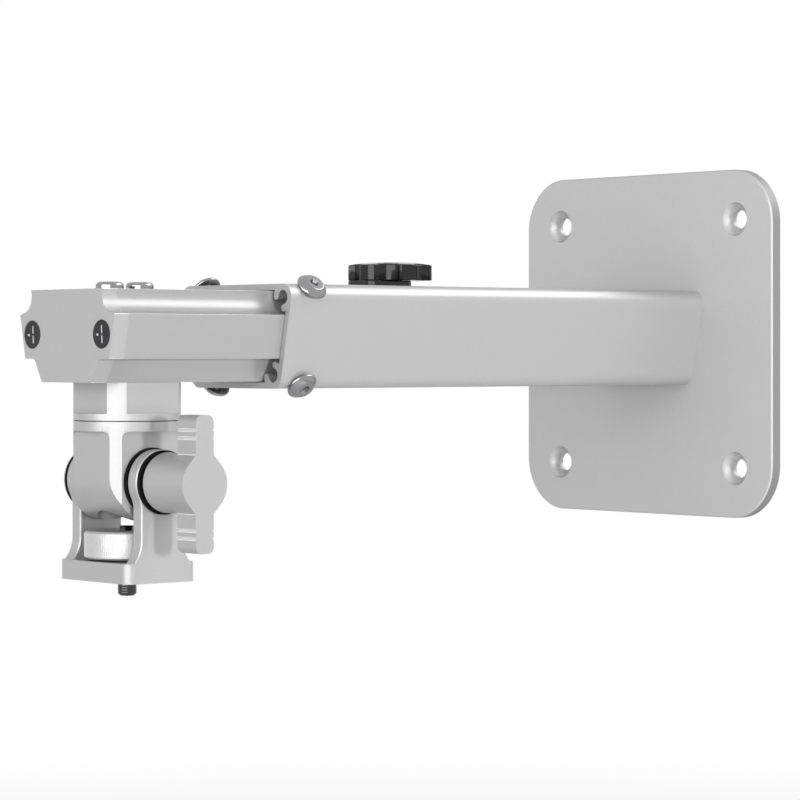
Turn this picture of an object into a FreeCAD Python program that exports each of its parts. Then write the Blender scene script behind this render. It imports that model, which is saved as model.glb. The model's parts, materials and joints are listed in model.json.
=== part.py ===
import FreeCAD, Part
import math
import os

# Wall mount with a telescopic arm and a pan and tilt head for a small projector.
# Millimetres. The wall is the plane Y = 0, the arm reaches out along -Y, +Z is up.
# The origin is the middle of the wall plate's back face.

Vector = FreeCAD.Vector

# Wall plate
plate_side = 130.0
plate_thickness = 5.0
plate_corner_radius = 20.0
plate_edge_chamfer = 0.5
wall_hole_inset = 18.5
wall_hole_diameter = 7.2
wall_hole_sink_diameter = 12.6
wall_hole_sink_lip = 0.05

# Outer tube, a drawn trapezoid that is wider at the top
tube_top = 20.0
tube_height = 35.5
tube_top_width = 62.6
tube_bottom_width = 48.4
tube_wall = 2.1
tube_length = 200.0

# Screw port in each corner of the tube: a C in section, open towards the middle
port_radius = 2.45
port_finger = 2.4
upper_mouth_angle = 225.0
upper_mouth_half_angle = 51.5
lower_mouth_angle = 131.5
lower_mouth_half_angle = 57.5

# Sliding arm inside the tube
slide_gap_side = 0.2
slide_gap_height = 0.3
slide_gap_port = 0.8
shoulder_height = 9.4
arm_bottom_half_width = 14.2
arm_slant = 0.54
arm_notch_round = 2.0
arm_wall = 2.2
arm_extension = 64.75
arm_rear_gap = 29.75

# End cap and its screws
cap_thickness = 6.0
cap_screw_inset = 5.7
cap_screw_height = 2.75
cap_screw_diameter = 5.0
cap_screw_head_diameter = 9.3
cap_screw_length = 20.0
cap_boss_radius = 4.2

# Screws from behind the plate into the tube's ports
fixing_screw_diameter = 4.7
fixing_screw_head_diameter = 9.2
fixing_screw_length = 20.0

# Button-head guide screws through the tube's rounded corners
guide_screw_setback = 9.8
guide_screw_diameter = 4.8
guide_screw_head_diameter = 10.8
guide_screw_head_height = 2.6
guide_screw_length = 8.0
guide_screw_socket = 3.0

# Shares of a screw's sizes: a domed head's flat top, shoulder and rim, a tip's bevel, a socket's depth
dome_flat_share = 0.6
dome_shoulder_share = 0.87
dome_shoulder_rise = 0.68
dome_rim_rise = 0.2
tip_bevel_share = 0.1
socket_depth_share = 0.6

# A countersunk head's straight lip, and the shares of its cross recess
sunk_head_lip = 0.25
cross_length_share = 0.42
cross_width_share = 0.07
cross_depth_share = 0.7

# Lock knob over the tube, with its threaded plate and bush
lock_setback = 70.3
lock_plate_half_width = 8.0
lock_plate_front = 15.0
lock_plate_rear = 5.2
lock_plate_corner_radius = 4.0
lock_plate_thickness = 2.3
lock_bush_diameter = 8.0
lock_thread_diameter = 6.0
lock_tip_thickness = 1.2
lock_tip_gap = 0.3
lock_stud_engagement = 4.5
grip_diameter = 30.0
grip_height = 5.6
grip_dome = 0.8
grip_flat_radius = 9.0
grip_lobe_count = 6
grip_lobe_turn = -14.4
grip_flute_radius = 5.5
grip_flute_depth = 3.2
grip_lobe_round = 1.0

# Swivel block under the sliding arm
pan_axis_setback = 18.75
head_diameter = 35.9
block_front_flat = 15.2
block_side_flat = 14.4
block_height = 10.3
block_flange = 2.3
block_screw_offset = 6.2
block_screw_lead = 1.0
block_screw_diameter = 5.0
block_screw_head_diameter = 9.5
block_screw_head_height = 2.75
block_screw_length = 36.0
block_screw_socket = 3.0

# Pan joint
pan_washer_radius = 17.8
pan_washer_thickness = 0.3
pan_bolt_diameter = 6.0
pan_bolt_head_diameter = 10.0
pan_bolt_head_height = 5.0
pan_bolt_length = 17.0
pan_bolt_socket = 5.0
pan_spring_radius = 8.0
pan_spring_thickness = 1.2

# Knuckle between the pan and the tilt joint
knuckle_rim = 3.2
knuckle_front_flat = 14.7
knuckle_half_width = 13.4
knuckle_pocket_round = 2.2
knuckle_seat = 6.0
knuckle_bore_diameter = 19.6
knuckle_bottom_lift = 1.25
tilt_drop = 20.25

# Tilt joint
tilt_bolt_diameter = 8.0
tilt_bolt_head_radius = 10.4
tilt_bolt_head_thickness = 1.1
tilt_bolt_head_chamfer = 0.5
tilt_bolt_engagement = 9.0
washer_thickness = 1.5
inner_washer_radius = 11.3
outer_washer_radius = 10.6

# Yoke
ear_thickness = 4.9
ear_radius = 10.8
ear_neck_half = 8.6
ear_neck_round = 8.0
ear_flare_radius = 11.0
ear_flare_height = 7.6
ear_edge_chamfer = 0.4
base_half_depth = 14.2
base_corner_radius = 3.3
base_thickness = 6.6
base_drop = 26.55

# Wing knob on the tilt bolt
hub_radius = 10.0
hub_length = 11.4
hub_chamfer = 0.5
wing_thickness = 9.8
wing_half_width = 3.65
wing_half_length = 22.5
wing_disc_radius = 9.2
wing_shoulder = 9.6
wing_tip_round = 2.4
wing_groove_offsets = (15.0, 17.6)
wing_groove_depth = 0.5

# Projector screw and its thumb wheel
screw_diameter = 6.35
screw_neck_diameter = 5.0
screw_projection = 5.2
screw_tip_chamfer = 0.8
screw_engagement = 7.5
wheel_radius = 14.5
wheel_height = 9.2
wheel_boss_radius = 6.0
wheel_boss_height = 0.7
wheel_edge_chamfer = 0.6

# Radial clearances: turning on a bolt, in a threaded or tight hole, in a passing hole
turning_play = 0.08
thread_play = 0.1
passing_play = 0.3

# Places that follow from the sizes above
tube_bottom = tube_top - tube_height
tube_front = -plate_thickness - tube_length
side_slope = (tube_top_width - tube_bottom_width) / 2.0 / tube_height
side_cosine = math.cos(math.atan(side_slope))
corner_radius = port_radius + tube_wall
notch_radius = port_radius + port_finger + slide_gap_port
upper_port_height = tube_top - corner_radius
lower_port_height = tube_bottom + corner_radius
arm_top = tube_top - tube_wall - slide_gap_height
arm_bottom = tube_bottom + tube_wall + slide_gap_height
arm_ledge = lower_port_height + notch_radius
arm_ledge_corner = arm_bottom_half_width + arm_slant * (arm_ledge - arm_bottom)
arm_front = tube_front - arm_extension
arm_length = tube_length + arm_extension - arm_rear_gap
cap_front = arm_front - cap_thickness
lock_y = tube_front + lock_setback
lock_plate_top = tube_top + lock_plate_thickness
grip_bottom = lock_plate_top + turning_play
head_radius = head_diameter / 2.0
pan_y = arm_front + pan_axis_setback
flange_top = arm_bottom - block_height
block_bottom = flange_top - block_flange
knuckle_top = block_bottom - pan_washer_thickness
rim_bottom = knuckle_top - knuckle_rim
pan_seat = rim_bottom - knuckle_seat
pan_head_seat = pan_seat - pan_spring_thickness
tilt_height = block_bottom - tilt_drop
ear_inner = knuckle_half_width + washer_thickness
ear_outer = ear_inner + ear_thickness
knob_face = ear_outer + washer_thickness
wing_face = knob_face + hub_length
base_top = tilt_height - base_drop
base_bottom = base_top - base_thickness
wheel_bottom = base_top + wheel_boss_height


def side_x(height):
    """Half width of the tube's outside at a height."""
    return tube_bottom_width / 2.0 + side_slope * (height - tube_bottom)


def arm_side_x(height):
    """Half width of the sliding arm's slanting side at a height."""
    return side_x(height) - (tube_wall + slide_gap_side) / side_cosine


def cap_screw_offset():
    """Distance of the end cap's screws from the middle."""
    return arm_side_x(cap_screw_height) - cap_screw_inset


def block_screw_places():
    """The two places along Y of the screws that hold the swivel block."""
    middle = pan_y - block_screw_lead
    return middle + block_screw_offset, middle - block_screw_offset


def port_places():
    """Side, direction up or down, x and z of the tube's four corner ports."""
    places = []
    for side in (1, -1):
        for up, height in ((1, upper_port_height), (-1, lower_port_height)):
            places.append((side, up, side * (side_x(height) - corner_radius / side_cosine), height))
    return places


def box(x0, x1, y0, y1, z0, z1):
    return Part.makeBox(x1 - x0, y1 - y0, z1 - z0, Vector(x0, y0, z0))


def rod_x(radius, y, z, start, length):
    return Part.makeCylinder(radius, length, Vector(start, y, z), Vector(1, 0, 0))


def rod_y(radius, x, z, start, length):
    return Part.makeCylinder(radius, length, Vector(x, start, z), Vector(0, 1, 0))


def rod_z(radius, x, y, start, length):
    return Part.makeCylinder(radius, length, Vector(x, y, start), Vector(0, 0, 1))


def prism(corners, direction):
    face = Part.Face(Part.makePolygon(corners + corners[:1]))
    return face.extrude(direction)


def prism_along_y(points, start, length):
    return prism([Vector(x, start, z) for x, z in points], Vector(0, length, 0))


def prism_along_x(points, start, length):
    return prism([Vector(start, y, z) for y, z in points], Vector(length, 0, 0))


def joined(shapes):
    return shapes[0].multiFuse(shapes[1:]).removeSplitter()


def edges_along(shape, axis, test=None):
    """Straight edges that run along an axis and pass a test of their middle."""
    found = []
    for edge in shape.Edges:
        if edge.Curve.TypeId != "Part::GeomLine":
            continue
        if edge.Curve.Direction.cross(axis).Length > 1e-6:
            continue
        if test is None or test(edge.CenterOfMass):
            found.append(edge)
    return found


def edges_with(shape, test):
    """Edges whose bounding box passes a test."""
    return [edge for edge in shape.Edges if test(edge.BoundBox)]


def revolved(points):
    """Solid of revolution about +Z from (radius, height) points."""
    corners = [Vector(radius, 0, height) for radius, height in points]
    face = Part.Face(Part.makePolygon(corners + corners[:1]))
    return face.revolve(Vector(0, 0, 0), Vector(0, 0, 1), 360)


def placed(shape, position, direction):
    """A copy of a shape drawn about +Z, moved and turned to a direction."""
    copy = shape.copy()
    copy.Placement = FreeCAD.Placement(position, FreeCAD.Rotation(Vector(0, 0, 1), direction))
    return copy


def hexagon(across_flats, top, depth):
    radius = across_flats / math.sqrt(3.0)
    corners = []
    for step in range(6):
        angle = math.radians(60.0 * step)
        corners.append(Vector(radius * math.cos(angle), radius * math.sin(angle), top))
    return prism(corners, Vector(0, 0, -depth))


def button_screw(diameter, head_diameter, head_height, length, socket):
    """Domed screw with a hexagon socket: head above Z = 0, shank below."""
    radius = head_diameter / 2.0
    shank = diameter / 2.0
    bevel = diameter * tip_bevel_share
    screw = revolved([
        (0, head_height),
        (radius * dome_flat_share, head_height),
        (radius * dome_shoulder_share, head_height * dome_shoulder_rise),
        (radius, head_height * dome_rim_rise),
        (radius, 0),
        (shank, 0),
        (shank, bevel - length),
        (shank - bevel, -length),
        (0, -length),
    ])
    return screw.cut(hexagon(socket, head_height, head_height * socket_depth_share))


def countersunk_screw(diameter, head_diameter, length):
    """Flat-topped screw with a cross recess: top at Z = 0, all of it below."""
    radius = diameter / 2.0
    head = head_diameter / 2.0
    neck = sunk_head_lip + head - radius
    bevel = diameter * tip_bevel_share
    screw = revolved([(0, 0), (head, 0), (head, -sunk_head_lip), (radius, -neck), (radius, bevel - length),
                      (radius - bevel, -length), (0, -length)])
    half_length = head_diameter * cross_length_share
    half_width = head_diameter * cross_width_share
    depth = neck * cross_depth_share
    return screw.cut([
        box(-half_length, half_length, -half_width, half_width, -depth, 0),
        box(-half_width, half_width, -half_length, half_length, -depth, 0),
    ])


def countersink(head_diameter, diameter, lip):
    """Tool for a countersunk seat: its face at Z = 0, cutting below, a short straight lip first."""
    head = head_diameter / 2.0
    radius = diameter / 2.0
    depth = head - radius + lip
    return revolved([(0, 1), (head, 1), (head, -lip), (radius, -depth), (0, -depth)])


def screw_seat(head_diameter, diameter):
    return countersink(head_diameter + 2.0 * thread_play, diameter + 2.0 * thread_play, sunk_head_lip)


def make_wall_plate():
    half = plate_side / 2.0
    plate = box(-half, half, -plate_thickness, 0, -half, half)
    plate = plate.makeFillet(plate_corner_radius, edges_along(plate, Vector(0, 1, 0)))
    plate = plate.makeChamfer(plate_edge_chamfer, edges_with(plate, lambda limits: limits.YLength < 1e-4))
    tools = []
    reach = half - wall_hole_inset
    sink = countersink(wall_hole_sink_diameter, wall_hole_diameter, wall_hole_sink_lip)
    for x in (-reach, reach):
        for z in (-reach, reach):
            tools.append(rod_y(wall_hole_diameter / 2.0, x, z, -plate_thickness, plate_thickness))
            tools.append(placed(sink, Vector(x, -plate_thickness, z), Vector(0, -1, 0)))
    seat = screw_seat(fixing_screw_head_diameter, fixing_screw_diameter)
    for side, up, x, z in port_places():
        hole = fixing_screw_diameter / 2.0 + thread_play
        tools.append(rod_y(hole, x, z, -plate_thickness, plate_thickness))
        tools.append(placed(seat, Vector(x, 0, z), Vector(0, 1, 0)))
    return plate.cut(tools)


def tube_section(inset):
    """Corners of the trapezoid, moved in by an inset."""
    top = tube_top - inset
    bottom = tube_bottom + inset
    top_half = side_x(top) - inset / side_cosine
    bottom_half = side_x(bottom) - inset / side_cosine
    return [(-top_half, top), (top_half, top), (bottom_half, bottom), (-bottom_half, bottom)]


def port_ring(side, up, x, z):
    """C-shaped wall round a port, with rounded finger tips at its mouth."""
    centre = upper_mouth_angle if up > 0 else lower_mouth_angle
    half = upper_mouth_half_angle if up > 0 else lower_mouth_half_angle
    outer = port_radius + port_finger
    middle = port_radius + port_finger / 2.0
    ring = rod_y(outer, x, z, tube_front, tube_length)
    mouth = [(x, z)]
    tips = []
    for angle in (math.radians(centre - half), math.radians(centre + half)):
        across = side * math.cos(angle)
        rise = math.sin(angle)
        mouth.append((x + outer * 3.0 * across, z + outer * 3.0 * rise))
        tip_x = x + middle * across
        tips.append(rod_y(port_finger / 2.0, tip_x, z + middle * rise, tube_front, tube_length))
    return joined([ring.cut(prism_along_y(mouth, tube_front, tube_length))] + tips)


def guide_direction(side, up):
    """Guide screws stand on the rounded corners at half a right angle."""
    return Vector(side, 0, up).normalize()


def guide_bore(side, up, x, z):
    direction = guide_direction(side, up)
    start = Vector(x, tube_front + guide_screw_setback, z) - direction * notch_radius
    return Part.makeCylinder(guide_screw_diameter / 2.0 + thread_play, notch_radius * 3.0, start, direction)


def make_outer_tube():
    outside = prism_along_y(tube_section(0.0), tube_front, tube_length)
    outside = outside.makeFillet(corner_radius, edges_along(outside, Vector(0, 1, 0)))
    pieces = [outside.cut(prism_along_y(tube_section(tube_wall), tube_front, tube_length))]
    bush_hole = lock_bush_diameter / 2.0 + thread_play
    tools = [rod_z(bush_hole, 0, lock_y, tube_top - tube_wall * 2.0, tube_wall * 3.0)]
    for side, up, x, z in port_places():
        pieces.append(port_ring(side, up, x, z))
        tools.append(rod_y(port_radius, x, z, tube_front, tube_length))
        tools.append(guide_bore(side, up, x, z))
    return joined(pieces).common(outside).cut(tools)


def make_tube_fixing_screws():
    screw = countersunk_screw(fixing_screw_diameter, fixing_screw_head_diameter, fixing_screw_length)
    places = [Vector(x, 0, z) for side, up, x, z in port_places()]
    return Part.makeCompound([placed(screw, place, Vector(0, 1, 0)) for place in places])


def make_guide_screws():
    screw = button_screw(guide_screw_diameter, guide_screw_head_diameter, guide_screw_head_height,
                         guide_screw_length, guide_screw_socket)
    screws = []
    for side, up, x, z in port_places():
        direction = guide_direction(side, up)
        seat = Vector(x, tube_front + guide_screw_setback, z) + direction * corner_radius
        screws.append(placed(screw, seat, direction))
    return Part.makeCompound(screws)


def arm_half_outline(side):
    """Edges of one half of the arm's section, from the top middle to the bottom middle."""
    centre_x = port_places()[0][2]
    centre_z = upper_port_height
    shoulder_x = arm_side_x(shoulder_height)
    bearing = math.atan2(shoulder_height - centre_z, shoulder_x - centre_x)
    distance = math.hypot(shoulder_height - centre_z, shoulder_x - centre_x)
    first = math.pi - math.asin((arm_top - centre_z) / notch_radius)
    last = bearing - math.acos(notch_radius / distance) + 2.0 * math.pi
    arc = []
    for angle in (first, (first + last) / 2.0, last):
        arc.append(Vector(side * (centre_x + notch_radius * math.cos(angle)), 0,
                          centre_z + notch_radius * math.sin(angle)))
    lower = [
        arc[2],
        Vector(side * shoulder_x, 0, shoulder_height),
        Vector(side * arm_side_x(arm_ledge), 0, arm_ledge),
        Vector(side * arm_ledge_corner, 0, arm_ledge),
        Vector(side * arm_bottom_half_width, 0, arm_bottom),
    ]
    return Part.makePolygon(lower).Edges + [Part.Arc(*arc).toShape()], arc[0], lower[-1]


def arm_face():
    """Section of the sliding arm in the plane Y = 0, its lower notches still sharp."""
    right, right_top, right_bottom = arm_half_outline(1)
    left, left_top, left_bottom = arm_half_outline(-1)
    closing = [Part.makeLine(left_top, right_top), Part.makeLine(right_bottom, left_bottom)]
    return Part.Face(Part.Wire(Part.sortEdges(right + left + closing)[0]))


def arm_bar(start, length):
    bar = arm_face().extrude(Vector(0, length, 0))
    bar.translate(Vector(0, start, 0))
    notches = edges_along(bar, Vector(0, 1, 0), lambda middle: abs(middle.z - arm_ledge) < 1e-4
                          and abs(abs(middle.x) - arm_ledge_corner) < 1e-4)
    return bar.makeFillet(arm_notch_round, notches)


def make_sliding_arm():
    hollow = arm_face().makeOffset2D(-arm_wall).extrude(Vector(0, arm_length, 0))
    hollow.translate(Vector(0, arm_front, 0))
    bosses = []
    tools = []
    thread = cap_screw_diameter / 2.0 + thread_play
    for side in (1, -1):
        x = side * cap_screw_offset()
        bosses.append(rod_y(cap_boss_radius, x, cap_screw_height, arm_front, arm_length))
        tools.append(rod_y(thread, x, cap_screw_height, arm_front, arm_length))
    passing = block_screw_diameter / 2.0 + passing_play
    for y in block_screw_places():
        tools.append(rod_z(passing, 0, y, arm_bottom, arm_top - arm_bottom))
    return arm_bar(arm_front, arm_length).cut(hollow.cut(bosses)).cut(tools)


def make_end_cap():
    seat = screw_seat(cap_screw_head_diameter, cap_screw_diameter)
    hole = cap_screw_diameter / 2.0 + thread_play
    tools = []
    for x in (-cap_screw_offset(), cap_screw_offset()):
        tools.append(rod_y(hole, x, cap_screw_height, cap_front, cap_thickness))
        tools.append(placed(seat, Vector(x, cap_front, cap_screw_height), Vector(0, -1, 0)))
    return arm_bar(cap_front, cap_thickness).cut(tools)


def make_end_cap_screws():
    screw = countersunk_screw(cap_screw_diameter, cap_screw_head_diameter, cap_screw_length)
    places = [Vector(x, cap_front, cap_screw_height) for x in (-cap_screw_offset(), cap_screw_offset())]
    return Part.makeCompound([placed(screw, place, Vector(0, -1, 0)) for place in places])


def make_lock_plate():
    plate = box(-lock_plate_half_width, lock_plate_half_width, lock_y - lock_plate_front,
                lock_y + lock_plate_rear, tube_top, lock_plate_top)
    plate = plate.makeFillet(lock_plate_corner_radius, edges_along(plate, Vector(0, 0, 1)))
    hole = lock_bush_diameter / 2.0 + thread_play
    return plate.cut(rod_z(hole, 0, lock_y, tube_top, lock_plate_thickness))


def make_lock_bush():
    bottom = tube_top - tube_wall
    length = lock_plate_top - bottom
    bore = lock_thread_diameter / 2.0 + turning_play
    bush = rod_z(lock_bush_diameter / 2.0, 0, lock_y, bottom, length)
    return bush.cut(rod_z(bore, 0, lock_y, bottom, length))


def make_lock_grip():
    radius = grip_diameter / 2.0
    height = grip_height + grip_dome
    distance = radius + grip_flute_radius - grip_flute_depth
    flutes = []
    for step in range(grip_lobe_count):
        angle = math.radians(grip_lobe_turn + (step + 0.5) * 360.0 / grip_lobe_count)
        x = distance * math.cos(angle)
        y = lock_y + distance * math.sin(angle)
        flutes.append(rod_z(grip_flute_radius, x, y, grip_bottom, height))
    grip = rod_z(radius, 0, lock_y, grip_bottom, height).cut(flutes)
    grip = grip.makeFillet(grip_lobe_round, edges_along(grip, Vector(0, 0, 1)))
    crown = revolved([(0, 0), (radius, 0), (radius, grip_height), (grip_flat_radius, height), (0, height)])
    grip = grip.common(placed(crown, Vector(0, lock_y, grip_bottom), Vector(0, 0, 1)))
    return grip.cut(rod_z(lock_thread_diameter / 2.0, 0, lock_y, grip_bottom, lock_stud_engagement))


def make_lock_stud():
    bottom = arm_top + lock_tip_gap + lock_tip_thickness
    return rod_z(lock_thread_diameter / 2.0, 0, lock_y, bottom, grip_bottom + lock_stud_engagement - bottom)


def make_lock_tip():
    radius = lock_thread_diameter / 2.0 - thread_play
    return rod_z(radius, 0, lock_y, arm_top + lock_tip_gap, lock_tip_thickness)


def make_swivel_block():
    post = rod_z(head_radius, 0, pan_y, flange_top, block_height)
    square = box(-block_side_flat, block_side_flat, pan_y - block_front_flat, pan_y + block_front_flat,
                 flange_top, arm_bottom)
    block = joined([post.common(square), rod_z(head_radius, 0, pan_y, block_bottom, block_flange)])
    screw_tip = arm_top - block_screw_length
    bolt_tip = pan_head_seat + pan_bolt_length
    tools = [rod_z(pan_bolt_diameter / 2.0 + thread_play, 0, pan_y, block_bottom, bolt_tip - block_bottom)]
    thread = block_screw_diameter / 2.0 + thread_play
    for y in block_screw_places():
        tools.append(rod_z(thread, 0, y, screw_tip, arm_bottom - screw_tip))
    return block.cut(tools)


def make_block_screws():
    screw = button_screw(block_screw_diameter, block_screw_head_diameter, block_screw_head_height,
                         block_screw_length, block_screw_socket)
    places = [Vector(0, y, arm_top) for y in block_screw_places()]
    return Part.makeCompound([placed(screw, place, Vector(0, 0, 1)) for place in places])


def make_pan_washer():
    ring = rod_z(pan_washer_radius, 0, pan_y, knuckle_top, pan_washer_thickness)
    bore = pan_bolt_diameter / 2.0 + passing_play
    return ring.cut(rod_z(bore, 0, pan_y, knuckle_top, pan_washer_thickness))


def make_pan_spring():
    ring = rod_z(pan_spring_radius, 0, pan_y, pan_head_seat, pan_spring_thickness)
    bore = pan_bolt_diameter / 2.0 + thread_play
    return ring.cut(rod_z(bore, 0, pan_y, pan_head_seat, pan_spring_thickness))


def make_pan_bolt():
    bottom = pan_head_seat - pan_bolt_head_height
    head = rod_z(pan_bolt_head_diameter / 2.0, 0, pan_y, bottom, pan_bolt_head_height)
    shank = rod_z(pan_bolt_diameter / 2.0, 0, pan_y, pan_head_seat, pan_bolt_length)
    socket = hexagon(pan_bolt_socket, 0.0, pan_bolt_head_height * socket_depth_share)
    return joined([head, shank]).cut(placed(socket, Vector(0, pan_y, bottom), Vector(0, 0, -1)))


def milled_pocket(half_width, low, plane):
    """Tool that mills a flat at a distance along -Y, its upper corners rounded."""
    depth = head_radius
    tool = box(-half_width, half_width, -plane - depth, -plane, low, rim_bottom)
    upper = edges_along(tool, Vector(0, 1, 0), lambda middle: middle.z > rim_bottom - 1e-4)
    return tool.makeFillet(knuckle_pocket_round, upper)


def make_knuckle():
    centre = tilt_height + knuckle_bottom_lift
    bottom = centre - knuckle_front_flat
    upright = box(-head_radius, head_radius, pan_y - head_radius, pan_y + head_radius, centre, rim_bottom)
    rounding = rod_x(knuckle_front_flat, pan_y, centre, -head_radius, head_diameter)
    body = rod_z(head_radius, 0, pan_y, bottom, rim_bottom - bottom).common(joined([upright, rounding]))
    tools = []
    for plane, turns in ((knuckle_front_flat, (0, 180)), (knuckle_half_width, (90, 270))):
        chord = math.sqrt(head_radius ** 2 - plane ** 2)
        pocket = milled_pocket(chord, bottom, plane)
        for turn in turns:
            tool = pocket.copy()
            tool.rotate(Vector(0, 0, 0), Vector(0, 0, 1), turn)
            tool.translate(Vector(0, pan_y, 0))
            tools.append(tool)
    body = joined([body.cut(tools), rod_z(head_radius, 0, pan_y, rim_bottom, knuckle_rim)])
    return body.cut([
        rod_z(knuckle_bore_diameter / 2.0, 0, pan_y, bottom, pan_seat - bottom),
        rod_z(pan_bolt_diameter / 2.0 + turning_play, 0, pan_y, pan_seat, knuckle_top - pan_seat),
        rod_x(tilt_bolt_diameter / 2.0 + turning_play, pan_y, tilt_height, -head_radius, head_diameter),
    ])


def tilt_washer(radius, start):
    ring = rod_x(radius, pan_y, tilt_height, start, washer_thickness)
    bore = tilt_bolt_diameter / 2.0 + thread_play
    return ring.cut(rod_x(bore, pan_y, tilt_height, start, washer_thickness))


def make_inner_washers():
    starts = (knuckle_half_width, -ear_inner)
    return Part.makeCompound([tilt_washer(inner_washer_radius, start) for start in starts])


def make_outer_washers():
    return Part.makeCompound([tilt_washer(outer_washer_radius, start) for start in (ear_outer, -knob_face)])


def make_tilt_bolt():
    head = rod_x(tilt_bolt_head_radius, pan_y, tilt_height, -knob_face - tilt_bolt_head_thickness,
                 tilt_bolt_head_thickness)
    rim = edges_with(head, lambda limits: limits.XMax < -knob_face - tilt_bolt_head_thickness / 2.0)
    head = head.makeChamfer(tilt_bolt_head_chamfer, rim)
    shank = rod_x(tilt_bolt_diameter / 2.0, pan_y, tilt_height, -knob_face,
                  knob_face * 2.0 + tilt_bolt_engagement)
    return joined([head, shank])


def ear_outline():
    """Edges of an ear in the YZ plane: round top, neck, and flares down to the base."""
    reach = ear_radius + ear_neck_round
    blend_y = ear_neck_half + ear_neck_round
    blend_z = tilt_height - math.sqrt(reach ** 2 - blend_y ** 2)
    share = ear_radius / reach
    flare_z = base_top + ear_flare_height
    flare_y = ear_neck_half + ear_flare_radius
    flare_angle = math.asin(ear_flare_height / ear_flare_radius)

    def blend_point(angle):
        return blend_y - ear_neck_round * math.cos(angle), blend_z + ear_neck_round * math.sin(angle)

    def flare_point(angle):
        return flare_y - ear_flare_radius * math.cos(angle), flare_z - ear_flare_radius * math.sin(angle)

    blend_angle = math.atan2(tilt_height - blend_z, blend_y)
    contact = (blend_y * share, tilt_height + (blend_z - tilt_height) * share)
    edges = []
    feet = []
    for side in (1, -1):
        def at(point):
            return Vector(0, side * point[0], point[1])
        neck_top = at((ear_neck_half, blend_z))
        neck_bottom = at((ear_neck_half, flare_z))
        foot = at(flare_point(flare_angle))
        edges.append(Part.Arc(at(contact), at(blend_point(blend_angle / 2.0)), neck_top).toShape())
        edges.append(Part.makeLine(neck_top, neck_bottom))
        edges.append(Part.Arc(neck_bottom, at(flare_point(flare_angle / 2.0)), foot).toShape())
        feet.append(foot)
    crown = Vector(0, 0, tilt_height + ear_radius)
    near = Vector(0, contact[0], contact[1])
    far = Vector(0, -contact[0], contact[1])
    edges.append(Part.Arc(near, crown, far).toShape())
    below = [Vector(0, foot.y, base_top - base_thickness / 2.0) for foot in feet]
    edges.extend(Part.makePolygon([feet[0], below[0], below[1], feet[1]]).Edges)
    return edges


def make_yoke():
    ear_face = Part.Face(Part.Wire(Part.sortEdges(ear_outline())[0]))
    ear = ear_face.extrude(Vector(ear_thickness, 0, 0))
    rims = edges_with(ear, lambda limits: limits.XLength < 1e-4 and limits.ZMin > base_top - 1e-4)
    ear = ear.makeChamfer(ear_edge_chamfer, rims)
    base = box(-ear_outer, ear_outer, -base_half_depth, base_half_depth, base_bottom, base_top)
    base = base.makeFillet(base_corner_radius, edges_along(base, Vector(0, 0, 1)))
    pieces = [base]
    for start in (ear_inner, -ear_outer):
        copy = ear.copy()
        copy.translate(Vector(start, 0, 0))
        pieces.append(copy)
    yoke = joined(pieces)
    yoke.translate(Vector(0, pan_y, 0))
    return yoke.cut([
        rod_x(tilt_bolt_diameter / 2.0 + thread_play, pan_y, tilt_height, -ear_outer, ear_outer * 2.0),
        rod_z(screw_diameter / 2.0 + turning_play, 0, pan_y, base_bottom, base_thickness),
    ])


def wing_outline():
    """Corners that blend the wing's disc into its bar, in the YZ plane."""
    distance = math.hypot(wing_half_width, wing_shoulder)
    bearing = math.atan2(wing_shoulder, wing_half_width)
    contact = bearing - math.acos(wing_disc_radius / distance)
    y = wing_disc_radius * math.cos(contact)
    z = wing_disc_radius * math.sin(contact)
    quarter = [(y, z), (wing_half_width, wing_shoulder)]
    upper = quarter + [(-across, rise) for across, rise in reversed(quarter)]
    return upper + [(-across, -rise) for across, rise in upper]


def wing_grooves():
    grooves = []
    for offset in wing_groove_offsets:
        for z in (offset, -offset):
            for side in (1, -1):
                grooves.append(prism_along_x([
                    (side * wing_half_width, z - wing_groove_depth),
                    (side * (wing_half_width - wing_groove_depth), z),
                    (side * wing_half_width, z + wing_groove_depth),
                ], wing_face, wing_thickness))
    return grooves


def make_wing_knob():
    hub = rod_x(hub_radius, 0, 0, knob_face, hub_length)
    hub = hub.makeChamfer(hub_chamfer, edges_with(hub, lambda limits: limits.XMax < knob_face + 1e-4))
    bar = box(wing_face, wing_face + wing_thickness, -wing_half_width, wing_half_width, -wing_half_length,
              wing_half_length)
    bar = bar.makeFillet(wing_tip_round, edges_along(bar, Vector(1, 0, 0)))
    disc = rod_x(wing_disc_radius, 0, 0, wing_face, wing_thickness)
    knob = joined([hub, bar, disc, prism_along_x(wing_outline(), wing_face, wing_thickness)])
    knob = knob.cut(wing_grooves())
    bore = rod_x(tilt_bolt_diameter / 2.0 + turning_play, 0, 0, knob_face, tilt_bolt_engagement)
    knob = knob.cut(bore)
    knob.translate(Vector(0, pan_y, tilt_height))
    return knob


def make_thumb_wheel():
    wheel = rod_z(wheel_radius, 0, pan_y, wheel_bottom, wheel_height)
    wheel = wheel.makeChamfer(wheel_edge_chamfer, edges_with(wheel, lambda limits: limits.ZLength < 1e-4))
    boss = rod_z(wheel_boss_radius, 0, pan_y, base_top, wheel_boss_height)
    socket = rod_z(screw_neck_diameter / 2.0, 0, pan_y, base_top, wheel_boss_height + screw_engagement)
    return joined([wheel, boss]).cut(socket)


def make_projector_screw():
    tip = base_bottom - screw_projection
    thread = rod_z(screw_diameter / 2.0, 0, pan_y, tip, screw_projection)
    end = edges_with(thread, lambda limits: limits.ZMax < tip + 1e-4)
    thread = thread.makeChamfer(screw_tip_chamfer, end)
    neck_length = wheel_bottom + screw_engagement - base_bottom
    neck = rod_z(screw_neck_diameter / 2.0, 0, pan_y, base_bottom, neck_length)
    return joined([thread, neck])


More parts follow.
